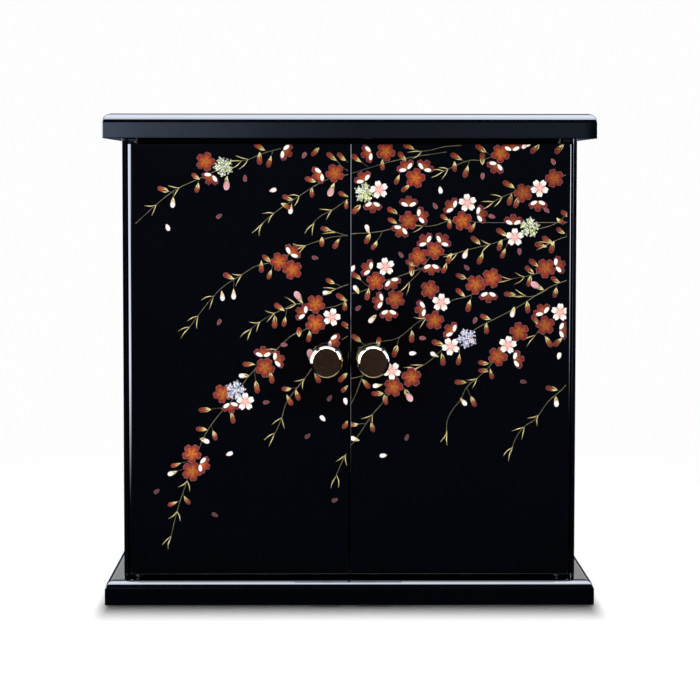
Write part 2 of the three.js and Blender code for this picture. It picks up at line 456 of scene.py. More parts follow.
def board(name, node, bore_height):
    """A board with a quarter-round along its four upper edges, bored for the pins."""
    low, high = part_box(node)
    piece = block(name, low, high)
    round_edges(edge_at_height(high.z), board_roundover, 18)

    def in_a_corner(edge):
        one, other = (v.co for v in edge.verts)
        return (
            one.x * other.x > 0
            and one.y * other.y > 0
            and all(at(high.x - abs(place.x), high.y - abs(place.y)) for place in (one, other))
        )

    round_edges(in_a_corner, board_corner, 4)
    round_edges(edge_at_height(low.z), board_arris, 3)
    leave_edit()
    for side in (-1, 1):
        place = (side * pivot_x, pivot_y, bore_height)
        bored(piece, [(place, pin_bore, 2 * board_bore_depth, (0, 0, 1))])
    smooth(piece, flat_share=broad)
    fit(piece, polished_lacquer, "cabinet", "black_lacquer", node)


def side_panel(name, node, side):
    """An upright panel, rebated in front so that a thin lip stands beside the door."""
    low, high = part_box(node)
    low.z, high.z = low.z - panel_play, high.z + panel_play
    outside = high.x if side > 0 else low.x
    shoulder = face_y + rebate_depth
    middle_x = outside - side * side_thickness / 2
    piece = begin(
        name, bpy.ops.mesh.primitive_plane_add, size=1,
        location=(middle_x, (shoulder + high.y) / 2, low.z),
        scale=(side_thickness, high.y - shoulder, 1),
    )
    lip_inside = outside - side * lip_thickness
    everything()
    bpy.ops.mesh.bisect(plane_co=(lip_inside, 0, 0), plane_no=(1, 0, 0))
    pick(
        "edges",
        lambda e: all(at(v.co.y, shoulder) for v in e.verts)
        and all(side * v.co.x > side * lip_inside - hair for v in e.verts),
    )
    bpy.ops.mesh.extrude_edges_move(TRANSFORM_OT_translate={"value": (0, low.y - shoulder, 0)})
    everything()
    bpy.ops.mesh.dissolve_limited(angle_limit=math.radians(1))
    everything()
    bpy.ops.mesh.extrude_region_move(TRANSFORM_OT_translate={"value": (0, 0, high.z - low.z)})
    face_outwards()
    inside_back = outside - side * side_thickness

    def edge_at(x, y):
        return lambda e: upright_edge(e) and at(e.verts[0].co.x, x) and at(e.verts[0].co.y, y)

    round_edges(edge_at(lip_inside, low.y), lip_arris, 5)
    round_edges(edge_at(outside, low.y), outer_arris, 4)
    round_edges(edge_at(outside, high.y), lip_arris, 5)
    round_edges(edge_at(inside_back, shoulder), lip_arris, 5)
    leave_edit()
    smooth(piece)
    fit(piece, polished_lacquer, "cabinet", "black_lacquer", node)


def back_panel():
    """A thin board that closes the back, let out to the boards and the side panels."""
    low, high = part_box("back_panel")
    snug = Vector((panel_play, 0, panel_play))
    piece = block("back_board", low - snug, high + snug)
    round_edges(upright_edge, back_arris, 3)
    leave_edit()
    smooth(piece)
    fit(piece, satin_lacquer, "cabinet", "black_lacquer", "back_panel")


def door(name, node, side, body):
    """A flat door, rounded along the edge beside the lip, with bores for pins and knob."""
    low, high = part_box(node)
    outer = high.x if side > 0 else low.x
    knob_x = centre_of(f"knob_{name}")[0]
    middle_z = (low.z + high.z) / 2
    piece = block(f"{name}_door_panel", low, high)
    round_edges(lambda e: upright_edge(e) and at(e.verts[0].co.x, outer), door_edge_radius, 12)
    round_edges(lambda e: upright_edge(e) and abs(e.verts[0].co.x) < 2 * mm, door_arris, 5)
    for z in (low.z, high.z):
        round_edges(edge_at_height(z), door_arris * 0.98, 5)
    leave_edit()
    bored(
        piece,
        [
            ((side * pivot_x, pivot_y, low.z), pin_bore, 2 * pin_bore_depth, (0, 0, 1)),
            ((side * pivot_x, pivot_y, high.z), pin_bore, 2 * pin_bore_depth, (0, 0, 1)),
            ((knob_x, low.y, middle_z), stud_bore, 2 * stud_bore_depth, (0, 1, 0)),
        ],
    )
    smooth(piece, flat_share=broad)
    fit(piece, polished_lacquer, body, "black_lacquer", node)


def turned(name, profile, segments, centre, turn):
    """A turned piece: the profile, [radius, height] pairs, is drawn point by point and spun."""
    piece = begin(name, bpy.ops.mesh.primitive_plane_add, size=mm)
    pick("verts", lambda v: v.index > 0)
    bpy.ops.mesh.delete(type="VERT")
    pick("verts", lambda v: True)
    mesh = bmesh.from_edit_mesh(piece.data)
    mesh.verts.ensure_lookup_table()
    first = mesh.verts[0].co.copy()
    last = Vector((profile[0][0], 0, profile[0][1]))
    bpy.ops.transform.translate(value=last - first)
    for radius, height in profile[1:]:
        point = Vector((radius, 0, height))
        bpy.ops.mesh.extrude_vertices_move(TRANSFORM_OT_translate={"value": point - last})
        last = point
    everything()
    bpy.ops.mesh.spin(steps=segments, angle=2 * math.pi, center=(0, 0, 0), axis=(0, 0, 1))
    everything()
    bpy.ops.mesh.remove_doubles(threshold=1e-6)
    face_outwards()
    leave_edit()
    piece.matrix_world = Matrix.Translation(centre) @ Matrix.Rotation(turn, 4, "X")
    bpy.ops.object.transform_apply()
    smooth(piece, 40)
    return piece


def quarter(radius, height, size, start, end, steps):
    """Points on a quarter circle about [radius, height]."""
    return [
        (radius + size * math.cos(a), height + size * math.sin(a))
        for a in [start + (end - start) * i / steps for i in range(steps + 1)]
    ]


def pivot(name, node, top):
    """A pin with a collar that fills the gap beside the board it stands in."""
    board_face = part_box("top_board")[0].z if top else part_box("base_board")[1].z
    door_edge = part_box("door_left")[1].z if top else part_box("door_left")[0].z
    gap = abs(door_edge - board_face)
    collar = gap - collar_clearance
    profile = [
        (0, -pin_in_board), (pin_radius, -pin_in_board), (pin_radius, collar - collar_thickness),
        (collar_radius, collar - collar_thickness),
        *quarter(collar_radius - pin_break, collar - pin_break, pin_break, 0, math.pi / 2, 4),
        (pin_radius, collar),
        *quarter(
            pin_radius - pin_break, gap + pin_in_door - pin_break, pin_break, 0, math.pi / 2, 4,
        ),
        (0, gap + pin_in_door),
    ]
    x, y, _ = centre_of(node)
    place = (x, y, board_face)
    piece = turned(name, profile, 40, place, math.pi if top else 0)
    # The pins and collars get a near-black brass: painted shade for the dark gaps between the doors
    # and the boards that they stand in.
    shade_darkened = (linear("#161514"), linear("#282624"), 0.34)
    material = turned_brass(f"{name}_shade_darkened_brass", place, (1, 1, 0), *shade_darkened)
    fit(piece, material, "cabinet", "polished_brass", node)


def knob(name, node, body):
    """A round pull: foot, waisted neck, and a head with a crowned chamfer round a flat face."""
    x, _, z = centre_of(node)
    centre = (x, face_y, z)
    head_back = knob_projection - knob_head
    chamfer = knob_rim_chamfer
    crowned = []
    for i in range(13):
        share = i / 12
        out = (knob_crown * 4 * share * (1 - share) - knob_crown * 0.5) * math.sin(math.pi / 4)
        radius, height = knob_radius - share * chamfer, knob_projection - (1 - share) * chamfer
        crowned.append((radius + out, height + out))
    waist = []
    for i in range(17):
        share = i / 16
        flare = (knob_foot_radius - knob_neck_radius) * (1 - math.sin(share * math.pi))
        waist.append((knob_neck_radius + flare, knob_foot + share * (head_back - knob_foot)))
    profile = [
        (0, foot_gap - stud_length), (stud_radius, foot_gap - stud_length), (stud_radius, foot_gap),
        (knob_foot_radius, foot_gap), *waist,
        *quarter(
            knob_radius - knob_back_radius, head_back + knob_back_radius, knob_back_radius,
            -math.pi / 2, 0, 8,
        ),
        *crowned, (knob_radius - chamfer - face_break, knob_projection), (0, knob_projection),
    ]
    piece = turned(name, profile, 96, centre, math.pi / 2)
    polished = (linear("#e6c88a"), linear("#f2dca6"), 0.08)
    material = turned_brass(f"{name}_polished_brass", centre, (1, 0, 1), *polished)
    fit(piece, material, body, "polished_brass", node)


board("lower_board", "base_board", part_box("base_board")[1].z)
board("upper_board", "top_board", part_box("top_board")[0].z)
back_panel()
for name, side in (("left", -1), ("right", 1)):
    side_panel(f"{name}_side", f"side_panel_{name}", side)
    door(name, f"door_{name}", side, f"{name}_door")
    pivot(f"{name}_lower_pivot", f"pivot_bottom_{name}", False)
    pivot(f"{name}_upper_pivot", f"pivot_top_{name}", True)
    knob(f"{name}_pull", f"knob_{name}", f"{name}_door")


# ---- The painted cherry sprays ----
# Places are whole millimetres on the doors, (x, height), and headings are degrees from the right.

picture = {
    "left": {
        "twigs": [
            [(-42, 279), (-53, 276), (-63, 272), (-71, 271)],
            [(-74, 269), (-91, 261), (-106, 254), (-119, 244), (-131, 233)],
            [(6, 265), (-2, 263), (-14, 260), (-31, 250), (-47, 239), (-57, 230)],
            [(6, 251), (-1, 248), (-10, 242), (-19, 237), (-25, 230)],
            [(6, 227), (-2, 226), (-11, 225), (-21, 222), (-32, 218)],
            [(-2, 226), (-11, 229), (-13, 230)],
            [(-32, 218), (-43, 211), (-58, 207), (-66, 202), (-77, 195), (-84, 188), (-101, 166)],
            [(6, 198), (-1, 196), (-9, 193), (-13, 191)],
            [(6, 189), (0, 187), (-8, 183), (-22, 181)],
            [(-22, 183), (-34, 184), (-40, 181), (-47, 178), (-55, 173), (-64, 166)],
            [(6, 169), (-5, 162)],
            [(-19, 173), (-28, 168), (-35, 165), (-45, 156), (-53, 149), (-64, 137), (-72, 125),
             (-81, 115), (-88, 105), (-93, 94), (-97, 84), (-100, 75), (-106, 57), (-111, 36)],
            [(-23, 145), (-27, 139), (-35, 129), (-39, 123), (-42, 113), (-48, 100)],
            [(-2, 92), (-5, 86), (-10, 74)],
        ],
        "red": [
            (-88, 271), (-9, 264), (-43, 210), (-35, 205), (-21, 184), (-21, 172), (-52, 145),
            (-78, 129), (-97, 92), (-97, 81),
        ],
        "pale": [(-11, 176), (-64, 124)],
        "shell": [(-77, 268, 0.1), (-70, 131, 0.8)],
        "side": [
            (-85, 261, 60), (-39, 277, 150), (-19, 263, 30), (-35, 216, 230), (-29, 179, 330),
            (-53, 154, 270), (-10, 161, 150), (-44, 150, 200), (-73, 121, 100), (-90, 85, 160),
        ],
        "young": [(-75, 258), (-11, 254), (-31, 188), (-24, 152)],
        "bud": [
            (-114, 254), (-94, 262), (-93, 255), (-55, 280), (-55, 273), (-49, 271), (-38, 249),
            (-39, 244), (-23, 252), (-24, 260), (-11, 274), (-5, 274), (-21, 277), (-4, 251),
            (-2, 245), (-15, 230), (-17, 222), (-8, 221), (-51, 212), (-54, 207), (-49, 202),
            (-74, 201), (-43, 182), (-46, 173), (-40, 173), (-31, 167), (-25, 164), (-12, 198),
            (-5, 188), (-3, 183), (-2, 171), (-62, 147), (-48, 139), (-57, 133), (-89, 119),
            (-72, 114), (-91, 107), (-83, 103), (-107, 85), (-109, 61), (-100, 63), (-39, 132),
            (-37, 125), (-32, 128), (-20, 139), (-4, 139), (-3, 132), (-2, 110),
        ],
        "pale_bud": [
            (-108, 246), (-36, 242), (-78, 189), (-71, 190), (-14, 191), (-65, 140), (-89, 100),
            (-109, 80),
        ],
        "fork": [
            (-119, 245), (-104, 255), (-62, 273), (-47, 240), (-31, 250), (-11, 242), (-27, 219),
            (-66, 202), (-83, 188), (-93, 177), (-55, 173), (-46, 179), (-45, 156), (-101, 75),
            (-106, 56), (-29, 139), (-42, 114), (-3, 91), (-33, 183),
        ],
        "petal": [
            (-112, 233, 0.9), (-78, 239, 0.3), (-64, 263, 0.4), (-49, 253, 1.0), (-29, 273, 0.5),
            (-19, 212, 0.3), (-81, 171, 0.3), (-38, 159, 0.5), (-117, 70, 0.2), (-76, 91, 1.0),
            (-81, 53, 0.2), (-49, 124, 0.3), (-24, 104, 0.2), (-15, 112, 1.0), (-11, 128, 0.2),
            (-7, 64, 0.2), (-2, 122, 1.0),
        ],
    },
    "right": {
        "twigs": [
            [(59, 277), (29, 272), (8, 266), (-5, 262)],
            [(68, 281), (57, 280), (49, 278), (39, 277)],
            [(89, 275), (80, 272), (74, 272), (61, 267), (53, 263)],
            [(132, 263), (118, 258), (102, 253), (92, 249), (84, 244)],
            [(134, 234), (106, 234), (82, 234), (61, 235), (51, 232), (40, 232)],
            [(36, 235), (25, 230), (15, 228), (1, 227), (-6, 226)],
            [(134, 240), (125, 233), (115, 230), (104, 227), (93, 223), (87, 221), (75, 218),
             (61, 214)],
            [(134, 226), (126, 223), (118, 219)],
            [(61, 214), (51, 214), (44, 205), (33, 194)],
            [(44, 206), (30, 201), (18, 197), (8, 192), (0, 190), (-6, 186)],
            [(134, 199), (126, 196), (115, 190), (106, 184), (93, 177), (76, 168), (67, 161),
             (57, 156), (49, 149), (41, 144)],
            [(121, 205), (108, 201), (102, 200), (94, 198)],
            [(121, 193), (113, 189), (103, 189)],
            [(83, 195), (73, 189), (62, 186), (52, 178), (42, 173), (29, 163), (19, 161), (5, 157)],
            [(117, 169), (111, 161)],
            [(104, 165), (94, 155), (86, 146), (79, 139), (72, 133), (68, 125), (64, 120),
             (60, 112), (60, 101)],
            [(136, 138), (131, 132), (122, 124), (114, 113), (108, 109), (102, 101), (99, 91)],
            [(29, 140), (25, 130), (20, 123), (14, 116), (6, 104), (0, 96), (-4, 92)],
            [(10, 144), (8, 140), (4, 129), (1, 123)],
            [(8, 140), (0, 138), (-6, 137)],
        ],
        "red": [
            (22, 277), (40, 261), (36, 235), (69, 235), (92, 276), (106, 252), (125, 261),
            (52, 217), (42, 213), (16, 198), (87, 200), (77, 196), (120, 206), (49, 193), (52, 174),
            (28, 187), (120, 171), (104, 167), (91, 152), (38, 139), (27, 133),
        ],
        "pale": [
            (18, 254), (72, 246), (116, 255), (101, 225), (22, 207), (56, 185), (129, 179),
            (97, 159), (62, 158), (26, 143),
        ],
        "shell": [(9, 252, 0.0), (110, 231, 0.1), (72, 163, 0.9)],
        "side": [
            (11, 276, 20), (34, 268, 300), (46, 268, 240), (99, 280, 270), (89, 268, 60),
            (8, 261, 300), (14, 244, 90), (62, 244, 320), (80, 239, 190), (115, 245, 90),
            (36, 246, 270), (44, 238, 200), (31, 229, 60), (100, 235, 270), (46, 223, 310),
            (57, 223, 230), (50, 206, 90), (11, 206, 330), (26, 197, 120), (85, 189, 90),
            (128, 208, 200), (18, 186, 350), (24, 178, 90), (44, 181, 10), (62, 168, 320),
            (118, 180, 300), (131, 168, 180), (103, 150, 190),
        ],
        "young": [(115, 195), (36, 128)],
        "bud": [
            (4, 273), (20, 269), (32, 274), (36, 280), (29, 260), (34, 255), (65, 274), (64, 268),
            (71, 265), (80, 279), (81, 273), (113, 279), (128, 279), (4, 242), (26, 241), (26, 235),
            (58, 237), (61, 233), (75, 231), (97, 257), (98, 248), (102, 246), (93, 228), (92, 220),
            (94, 215), (129, 235), (129, 229), (121, 223), (117, 220), (124, 219), (132, 239),
            (11, 224), (15, 220), (77, 223), (80, 212), (61, 212), (58, 206), (37, 209), (38, 205),
            (4, 201), (68, 201), (68, 191), (73, 183), (113, 209), (110, 205), (110, 198),
            (126, 199), (126, 191), (11, 190), (98, 190), (109, 182), (83, 176), (84, 169),
            (114, 174), (122, 161), (128, 161), (82, 148), (82, 143), (87, 141), (54, 160),
            (57, 150), (67, 150), (38, 164), (28, 155), (18, 161), (4, 163), (17, 129), (22, 125),
            (10, 135), (14, 108), (2, 110), (68, 136), (76, 124), (124, 132),
        ],
        "pale_bud": [
            (107, 281), (11, 230), (71, 215), (4, 193), (14, 175), (100, 179), (52, 153), (17, 134),
            (3, 101), (70, 124), (127, 124),
        ],
        "fork": [
            (59, 269), (92, 251), (86, 220), (107, 201), (14, 116), (40, 144), (78, 139),
            (116, 116), (107, 109), (47, 177),
        ],
        "petal": [
            (55, 256, 1.0), (81, 260, 0.5), (51, 246, 0.4), (107, 280, 1.0), (123, 273, 0.5),
            (89, 237, 0.5), (30, 216, 0.3), (122, 240, 0.5), (104, 214, 0.4), (70, 208, 0.3),
            (3, 208, 1.0), (7, 183, 0.3), (47, 163, 0.5), (76, 172, 0.4), (41, 154, 1.0),
            (128, 150, 1.0), (109, 136, 0.2), (36, 104, 0.2), (23, 91, 1.0),
        ],
    },
}

# The films' heights over the door, each kind a little over what it overlaps
twig_height = 0.04 * mm
leaf_height = 0.05 * mm
bud_height = 0.06 * mm
red_height = 0.08 * mm
pale_height = 0.12 * mm
sunk = 0.02 * mm  # how far a film reaches into the door
layer_step = 0.003 * mm
stroke_step = 0.004 * mm
petal_lean = 0.012 * mm  # one side of each petal lies over its neighbour

red_radius = 6.2 * mm
pale_radius = 5.9 * mm
fan_radius = 7.0 * mm
bud_length = 4.6 * mm
calyx_length = 4.2 * mm
wing_length = 4.3 * mm
petal_length = 4.8 * mm
twig_width = 0.43 * mm
leaf_width = 0.62 * mm
blossom_turn = 288  # degrees from the first of five petals to the last
fan_turn = 108  # the same for a blossom seen from the side
wing_turn = 128  # and for the two white petals under it
fan_reach = 2.2  # whole millimetres from here on, as in the picture
longest_stalk = 13
leaf_at_tip = 8
shell_dots = 15


def film(name, vertices, width, length, height, shape=None, spin=None, heart=0.0):
    """A flat painted shape in the plane y = 0, its base on the origin and its tip up. The outline
    starts as an oval, is shaped by moving some of its points, and gets a softly rounded rim.
    A heart above 0 starts the colours further out than the heart of a blossom."""
    piece = begin(
        name, bpy.ops.mesh.primitive_circle_add, vertices=vertices, radius=0.5, fill_type="NGON",
        location=(0, sunk, length / 2), rotation=(math.pi / 2, 0, 0), scale=(width, length, 1),
    )
    for test, scale_x, shift_z in shape or []:
        pick("verts", test)
        bpy.ops.transform.resize(value=(scale_x, 1, 1))
        bpy.ops.transform.translate(value=(0, 0, shift_z))
    bpy.ops.mesh.select_mode(type="FACE")
    everything()
    bpy.ops.mesh.extrude_region_move(TRANSFORM_OT_translate={"value": (0, -sunk - height, 0)})
    face_outwards()
    pick("faces", lambda f: f.normal.y < -0.9)
    bpy.ops.mesh.inset(thickness=0.1 * width, depth=0.015 * mm)
    leave_edit()
    drawn = piece.data.uv_layers.active
    for loop in piece.data.loops:
        co = piece.data.vertices[loop.vertex_index].co
        away = Vector((co.x, co.z)) / length
        away += away.normalized() * heart
        drawn.data[loop.index].uv = away
    for attribute in ("tone", "shade", "rim"):
        piece.data.attributes.new(attribute, "FLOAT", "POINT")
    rim = piece.data.attributes["rim"].data
    for vertex in piece.data.vertices:
        rim[vertex.index].value = 0.0 if vertex.co.y < -height - 0.005 * mm else 1.0
    enter_edit()
    if spin:
        pick("verts", lambda v: v.co.x > 0.1 * width and v.co.y < 0)
        bpy.ops.transform.translate(value=(0, -petal_lean, 0))
        count, angle = spin
        everything()
        bpy.ops.mesh.spin(
            steps=count - 1, angle=math.radians(angle), dupli=True, center=(0, 0, 0),
            axis=(0, 1, 0),
        )
    leave_edit()
    soften(60)
    return piece


def notched(length, narrow, notch):
    """Moves that turn an oval into a petal: a narrow base and a notch in the tip."""
    return [
        (lambda v: v.co.z < 0.3 * length, narrow, 0), (lambda v: v.co.z > 0.99 * length, 1, -notch),
    ]


motifs = {
    name: film(name, *settings)
    for name, *settings in (
        ("red", 12, 0.78 * red_radius, red_radius, red_height,
         notched(red_radius, 0.6, 0.1 * red_radius), (5, blossom_turn)),
        ("pale", 12, 0.66 * pale_radius, pale_radius, pale_height,
         notched(pale_radius, 0.5, 0.16 * pale_radius), (5, blossom_turn)),
        ("shell", 12, 0.66 * pale_radius, pale_radius, pale_height,
         notched(pale_radius, 0.5, 0.12 * pale_radius), (5, blossom_turn)),
        ("fan", 12, 0.6 * fan_radius, fan_radius, red_height,
         notched(fan_radius, 0.6, 0.12 * fan_radius), (3, fan_turn)),
        ("wings", 10, 2.2 * mm, wing_length, pale_height,
         [(lambda v: True, 1, 0.6 * mm)], (2, wing_turn), 0.6),
        ("bud", 10, 3.2 * mm, bud_length, bud_height),
        ("pale_bud", 10, 3.2 * mm, bud_length, bud_height, None, None, 0.5),
        ("petal", 10, 2.6 * mm, petal_length, bud_height,
         notched(petal_length, 0.7, 0.5 * mm), None, 0.4),
        ("dot", 8, 1.1 * mm, 1.1 * mm, pale_height),
    )
}


def heading(angle):
    """The turn that points a motif, drawn tip up, along a heading in degrees from the right."""
    return math.radians(90 - angle)


class Layer:
    """The painted shapes of one finish on one door, kept until they are joined. Each lies a step
    over the last, so that no two share a plane."""

    def __init__(self):
        self.copies = []

    def place(self, motif, x, z, angle, tone, shade=1.0, size=1.0):
        source = motifs[motif]
        copy = bpy.data.objects.new(motif, source.data.copy())
        bpy.context.scene.collection.objects.link(copy)
        lift = layer_step * (len(self.copies) % 9)
        copy.matrix_world = (
            Matrix.Translation((x * mm, face_y - lift, z * mm))
            @ Matrix.Rotation(heading(angle), 4, "Y")
            @ Matrix.Diagonal((size, 1, size, 1))
        )
        for name, value in (("tone", tone), ("shade", shade)):
            values = copy.data.attributes[name].data
            values.foreach_set("value", [value] * len(values))
        self.copies.append(copy)


def joined(name, copies, limits, material, body, slot):
    """Joins painted shapes and trims them at the door's edges."""
    deselect()
    for copy in copies:
        copy.select_set(True)
    bpy.context.view_layer.objects.active = copies[0]
    if len(copies) > 1:
        bpy.ops.object.join()
    piece = bpy.context.object
    piece.name = name
    bpy.ops.object.transform_apply()
    enter_edit()
    left, right, top = limits
    for place, direction in (
        ((left, 0, 0), (-1, 0, 0)),
        ((right, 0, 0), (1, 0, 0)),
        ((0, 0, top), (0, 0, 1)),
    ):
        everything()
        bpy.ops.mesh.bisect(
            plane_co=place, plane_no=direction, clear_outer=True, threshold=hair / 10,
        )
    everything()
    bpy.ops.mesh.fill_holes(sides=0)
    face_outwards()
    leave_edit()
    fit(piece, material, body, slot)


def strokes(name, lines, thickness, height):
    """Brush lines, each a list of (x, z, weight) points, drawn as a low ridge on the door."""
    deselect()
    bpy.ops.curve.primitive_bezier_curve_add()
    brush = bpy.context.object
    brush.name = name
    brush.matrix_world = Matrix.Identity(4)
    curve = brush.data
    curve.splines.clear()
    curve.dimensions = "3D"
    curve.bevel_depth, curve.bevel_resolution, curve.resolution_u = thickness / 2, 1, 4
    curve.use_fill_caps = True
    for i, line in enumerate(lines):
        lift = -stroke_step * (i % 7)
        spline = curve.splines.new("BEZIER")
        spline.bezier_points.add(len(line) - 1)
        for point, (x, z, weight) in zip(spline.bezier_points, line):
            point.co = (x * mm, lift, z * mm)
            point.handle_left_type = point.handle_right_type = "AUTO"
            point.radius = weight
    bpy.ops.object.convert(target="MESH")
    piece = bpy.context.object
    enter_edit()
    everything()
    bpy.ops.mesh.remove_doubles(threshold=stroke_step / 4)
    bpy.ops.transform.resize(value=(1, height / (thickness / 2), 1))
    bpy.ops.transform.translate(value=(0, face_y, 0))
    face_outwards()
    leave_edit()
    soften(60)
    return piece


def walked(line):
    """Points about 1 mm apart along a twig, each with its direction, from the root to the tip."""
    found = []
    for (x0, z0), (x1, z1) in zip(line, line[1:]):
        start, end = Vector((x0, z0)), Vector((x1, z1))
        steps = max(int((end - start).length), 1)
        for i in range(steps):
            found.append((start.lerp(end, i / steps), (end - start).normalized()))
    found.append((end, (end - start).normalized()))
    return found


def turned_by(direction, degrees):
    cos, sin = math.cos(math.radians(degrees)), math.sin(math.radians(degrees))
    x, y = direction.x, direction.y
    return Vector((x * cos - y * sin, x * sin + y * cos))


def paint(name, design, limits):
    """Paints one door: twigs first, then what grows on them."""
    body = f"{name}_door"
    walks = [walked(line) for line in design["twigs"]]
    twigs = [
        [(x, z, 1.1 - 0.5 * i / (len(line) - 1)) for i, (x, z) in enumerate(line)]
        for line in design["twigs"]
    ]
    leaves = []
    red, pale, inlay = Layer(), Layer(), Layer()

    def tone_at(x):
        return min(max(0.30 + x / 500 + draw.uniform(-0.18, 0.18), 0), 1)

    def rooted(x, z):
        """The place up a twig from which a stalk to (x, z) leaves, or None far from all twigs."""
        spot = Vector((x, z))
        best = None
        for walk in walks:
            for i, (point, _) in enumerate(walk):
                gap = (point - spot).length
                if best is None or gap < best[0]:
                    best = (gap, walk, i)
        gap, walk, i = best
        if gap > longest_stalk:
            return None
        return walk[max(i - int(0.8 * gap), 0)][0]

    def stalk(start, end, weight=0.5):
        if start is None or (end - start).length < 1.5:
            return
        bow = turned_by((end - start), 90) * draw.uniform(-0.08, 0.08)
        middle = (start + end) / 2 + bow
        twigs.append([(*start, weight), (*middle, weight), (*end, weight * 0.9)])

    def leaf(start, direction, length, weight=1.0):
        bow = turned_by(direction, 90) * draw.uniform(-0.1, 0.1) * length
        middle = start + direction * length * 0.45 + bow
        end = start + direction * length
        leaves.append([(*start, 0.5 * weight), (*middle, 1.3 * weight), (*end, 0.1)])

    def bud(x, z, layer, tone, shade, size=1.0, motif="bud"):
        spot = Vector((x, z))
        root = rooted(x, z)
        way = (spot - root).normalized() if root else Vector((-0.7, -0.7))
        neck = spot - way * calyx_length / mm * 0.85 * size
        stalk(root, neck)
        head = spot - way * 1.1
        layer.place(motif, *head, math.degrees(math.atan2(way.y, way.x)), tone, shade, size)
        for spread in (-20, 0, 20):
            leaf(neck, turned_by(way, spread), calyx_length / mm * (1.0 if spread else 1.25), 0.85)

    for x, z in design["fork"]:
        spot = Vector((x, z))
        steps = (step for walk in walks for step in walk)
        place, way = min(steps, key=lambda step: (step[0] - spot).length)
        for spread in (-34, 30):
            turn = spread + draw.uniform(-6, 6)
            leaf(place, turned_by(way, turn), draw.uniform(6.0, 8.5), 0.75)
    for walk in walks:
        tip, way = walk[-1]
        if limits[0] / mm + 4 < tip.x < limits[1] / mm - 4:
            leaf(tip - way * 4, way, leaf_at_tip, 0.75)
            leaf(tip - way * 5, turned_by(way, draw.choice((-32, 32))), leaf_at_tip, 0.75)

    for x, z in design["bud"]:
        bud(x, z, red, tone_at(x) + 0.15, draw.uniform(0.75, 1.0), draw.uniform(0.85, 1.1))
    for x, z in design["pale_bud"]:
        bud(x, z, pale, draw.uniform(0, 0.3), 1.0, draw.uniform(0.8, 0.95), "pale_bud")
    for x, z in design["young"]:
        bud(x, z, pale, 0.75, 0.9, 1.2, "pale_bud")
    for x, z, bright in design["petal"]:
        angle = draw.uniform(0, 360)
        if bright > 0.8:
            pale.place("petal", x, z, angle, draw.uniform(0.0, 0.2), 1.0)
        else:
            pale.place("petal", x, z, angle, 1.0, bright * 0.7, 0.95)
    for x, z, back in design["side"]:
        turn = back + 180
        way = Vector((math.cos(math.radians(turn)), math.sin(math.radians(turn))))
        base = Vector((x, z)) - way * fan_reach
        tone, shade = tone_at(x) + 0.1, draw.uniform(0.7, 1.0)
        red.place("fan", *base, turn - fan_turn / 2, tone, shade)
        pale.place("wings", *base, turn - wing_turn / 2, 0.0)
    for x, z in design["red"]:
        shade, size = draw.uniform(0.85, 1.1), draw.uniform(0.98, 1.06)
        red.place("red", x, z, draw.uniform(0, 72), tone_at(x), shade, size)
    for x, z in design["pale"]:
        pale.place("pale", x, z, draw.uniform(0, 72), draw.uniform(0, 0.1))
    for x, z, tone in design["shell"]:
        start = draw.uniform(0, 72)
        inlay.place("shell", x, z, start, tone, 1.0, 1.02)
        for i in range(shell_dots):
            turn = 360 / shell_dots * i
            way = math.radians(start + turn)
            out = 4.6 if i % 3 else 5.6
            inlay.place("dot", x + out * math.cos(way), z + out * math.sin(way), turn, tone)

    joined(f"{name}_red_blossoms", red.copies, limits, red_lacquer, body, "coloured_lacquer")
    joined(f"{name}_pale_blossoms", pale.copies, limits, pale_lacquer, body, "coloured_lacquer")
    joined(f"{name}_shell_blossoms", inlay.copies, limits, shell, body, "shell_inlay")
    drawn = strokes(f"{name}_twig_lines", twigs, twig_width, twig_height)
    joined(f"{name}_twigs", [drawn], limits, twig_gold, body, "gold_powder")
    drawn = strokes(f"{name}_leaf_lines", leaves, leaf_width, leaf_height + bud_height)
    joined(f"{name}_leaves", [drawn], limits, leaf_gold, body, "gold_powder")


door_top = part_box("door_left")[1].z - door_arris
outer_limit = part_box("door_right")[1].x - door_edge_radius
seam_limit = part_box("door_right")[0].x + door_arris
paint("left", picture["left"], (-outer_limit, -seam_limit, door_top))
paint("right", picture["right"], (seam_limit, outer_limit, door_top))
for source in motifs.values():
    bpy.data.objects.remove(source)


# ---- Camera, floor and light ----

camera_data = bpy.data.cameras.new("camera")
camera_data.lens = 127.5  # from the fit to the photo, as the camera's place and turn
camera_data.sensor_width = 36
camera = bpy.data.objects.new("camera", camera_data)
bpy.context.scene.collection.objects.link(camera)
yaw, pitch, roll = 0.00878, 0.07129, 0.00074
forward = Vector(
    (math.sin(yaw) * math.cos(pitch), math.cos(yaw) * math.cos(pitch), -math.sin(pitch))
)
level = Vector((math.cos(yaw), -math.sin(yaw), 0))
upward = level.cross(forward)
right = math.cos(roll) * level + math.sin(roll) * upward
up = -math.sin(roll) * level + math.cos(roll) * upward
turn = Matrix((right, up, -forward)).transposed().to_4x4()
camera.matrix_world = Matrix.Translation((-0.01308, -1.60463, 0.26414)) @ turn
bpy.context.scene.camera = camera
bpy.context.scene.view_settings.view_transform = "Standard"


def stage_plane(name, centre, size, facing):
    """A plane of the stage that faces a direction."""
    deselect()
    turn = Vector((0, 0, 1)).rotation_difference(Vector(facing)).to_euler()
    bpy.ops.mesh.primitive_plane_add(size=1, location=centre, rotation=turn)
    plane = bpy.context.object
    plane.name = name
    plane.scale = (*size, 1)
    return plane


def only_in_the_gloss(plane):
    plane.visible_camera = plane.visible_diffuse = False
    plane.visible_shadow = plane.visible_transmission = False


